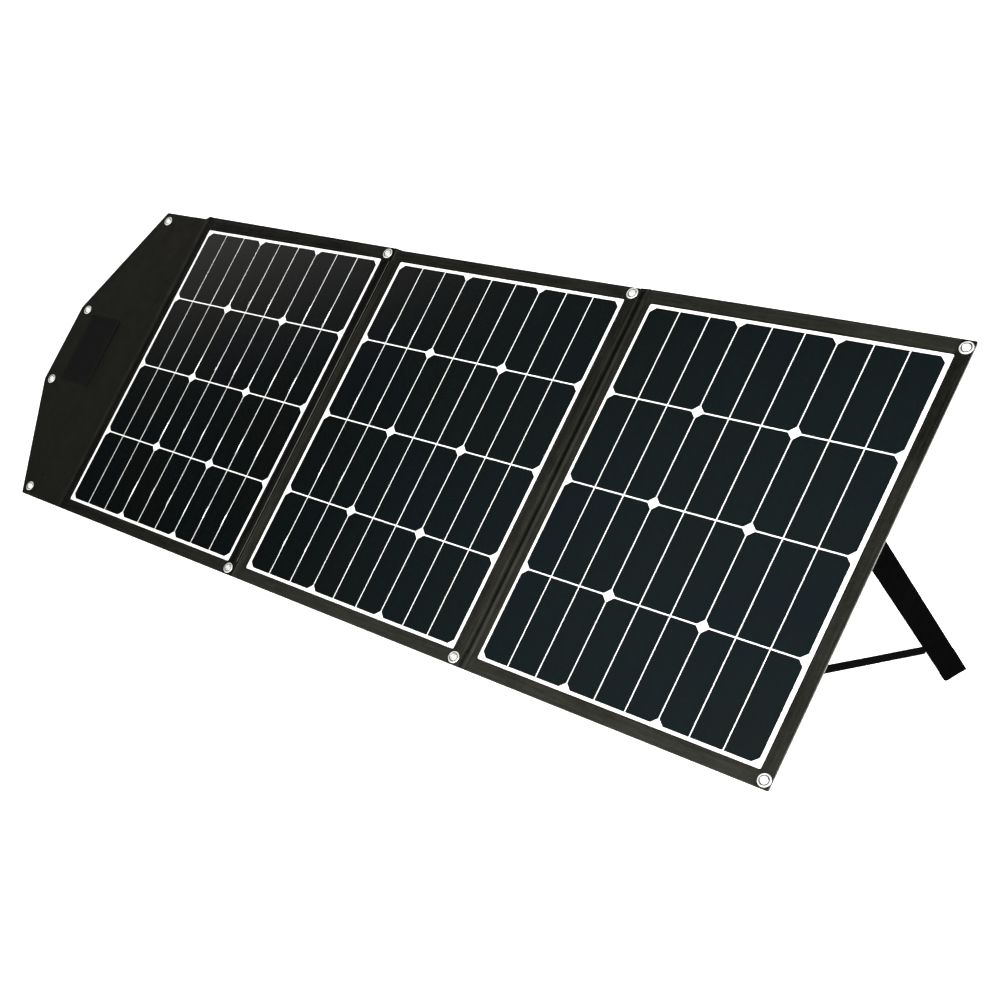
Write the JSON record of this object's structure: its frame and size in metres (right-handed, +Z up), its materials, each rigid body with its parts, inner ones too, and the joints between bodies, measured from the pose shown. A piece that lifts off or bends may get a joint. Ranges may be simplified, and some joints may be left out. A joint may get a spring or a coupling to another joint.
{
  "type": "folding solar panel",
  "caption": "Folding portable solar panel with fabric covers, corner eyelets, a wrap-round closing flap and fold-out side legs that prop it leaning back.",
  "frame": {"origin": "middle of the footprint, at the floor", "axes": "+X along the row of panels, from the closing flap to the plain end; +Z up; the panels face -Y and up, and lean back towards +Y"},
  "size_m": [1.5412, 0.4328, 0.4153],
  "materials": {
    "cover_fabric": "coated woven polyester, satin",
    "webbing": "woven webbing, matt",
    "hook_tape": "hook-and-loop pile, matt",
    "solar_cell": "silicon cells under a clear satin film",
    "backsheet": "white backsheet under a clear satin film",
    "board_plastic": "glass-fibre board, matt",
    "nickel": "nickel-plated, bright",
    "rubber": "moulded, matt",
    "box_plastic": "moulded, fine grain"
  },
  "bodies": {
    "panel_2": {"front_cover_2": "cover_fabric", "cell_sheet_2": "solar_cell", "laminate_2": "backsheet", "stiffener_board_2": "board_plastic", "back_cover_2": "cover_fabric", "eyelet_2_top": "nickel", "eyelet_2_bottom": "nickel", "hinge_strip_12": "cover_fabric", "hinge_strip_23": "cover_fabric", "pocket_pouch": "cover_fabric", "junction_box_base": "box_plastic", "junction_box_lid": "box_plastic", "cable_gland_body": "box_plastic", "cable_gland_nut": "box_plastic", "closing_loop_pad": "hook_tape"},
    "panel_1": {"front_cover_1": "cover_fabric", "cell_sheet_1": "solar_cell", "laminate_1": "backsheet", "stiffener_board_1": "board_plastic", "back_cover_1": "cover_fabric", "eyelet_1_top": "nickel", "eyelet_1_bottom": "nickel", "leg_hinge_tape_1": "hook_tape", "strap_anchor_1": "hook_tape", "leg_keeper_pad_1": "hook_tape", "crease_strip_inner": "cover_fabric"},
    "leg_1": {"leg_sleeve_1": "cover_fabric", "leg_batten_1": "board_plastic", "leg_foot_cap_1": "rubber", "leg_strap_1": "webbing"},
    "panel_3": {"front_cover_3": "cover_fabric", "cell_sheet_3": "solar_cell", "laminate_3": "backsheet", "stiffener_board_3": "board_plastic", "back_cover_3": "cover_fabric", "eyelet_3_top": "nickel", "eyelet_3_bottom": "nickel", "leg_hinge_tape_3": "hook_tape", "strap_anchor_3": "hook_tape", "leg_keeper_pad_3": "hook_tape"},
    "leg_3": {"leg_sleeve_3": "cover_fabric", "leg_batten_3": "board_plastic", "leg_foot_cap_3": "rubber", "leg_strap_3": "webbing"},
    "spine": {"flap_spine": "cover_fabric", "handle_webbing": "webbing", "handle_grip": "cover_fabric", "crease_strip_outer": "cover_fabric"},
    "flap": {"flap_front_cover": "cover_fabric", "flap_board": "board_plastic", "flap_back_cover": "cover_fabric", "flap_hook_patch": "hook_tape", "eyelet_flap_upper": "nickel", "eyelet_flap_lower": "nickel", "eyelet_flap_tip_upper": "nickel", "eyelet_flap_tip_lower": "nickel"},
    "pocket_lid": {"pocket_lid": "cover_fabric"}
  },
  "joints": [
    {"name": "fold_12", "type": "hinge", "parent": "panel_2", "child": "panel_1", "pos_m": [-0.14209, -0.03667, 0.21455], "axis": [0, 0.6691, 0.7431], "range_deg": [0, 180], "deforming": ["hinge_strip_12"]},
    {"name": "fold_23", "type": "hinge", "parent": "panel_2", "child": "panel_3", "pos_m": [0.28491, -0.03191, 0.21027], "axis": [0, -0.6691, -0.7431], "range_deg": [0, 180], "deforming": ["hinge_strip_23"]},
    {"name": "spine_fold", "type": "hinge", "parent": "panel_1", "child": "spine", "pos_m": [-0.57359, -0.02901, 0.20766], "axis": [0, 0.6691, 0.7431], "range_deg": [0, 90], "deforming": ["crease_strip_inner"]},
    {"name": "flap_fold", "type": "hinge", "parent": "spine", "child": "flap", "pos_m": [-0.60159, -0.02901, 0.20766], "axis": [0, 0.6691, 0.7431], "range_deg": [0, 90], "deforming": ["crease_strip_outer"]},
    {"name": "leg_1_fold", "type": "hinge", "parent": "panel_1", "child": "leg_1", "pos_m": [-0.56359, -0.02433, 0.20344], "axis": [0, -0.6691, -0.7431], "range_deg": [0, 102]},
    {"name": "leg_3_fold", "type": "hinge", "parent": "panel_3", "child": "leg_3", "pos_m": [0.7014, -0.02433, 0.20344], "axis": [0, 0.6691, 0.7431], "range_deg": [0, 102]},
    {"name": "pocket_lid_lift", "type": "hinge", "parent": "panel_2", "child": "pocket_lid", "pos_m": [-0.0076, -0.05622, 0.17295], "axis": [1, 0, 0], "range_deg": [0, 90]}
  ]
}
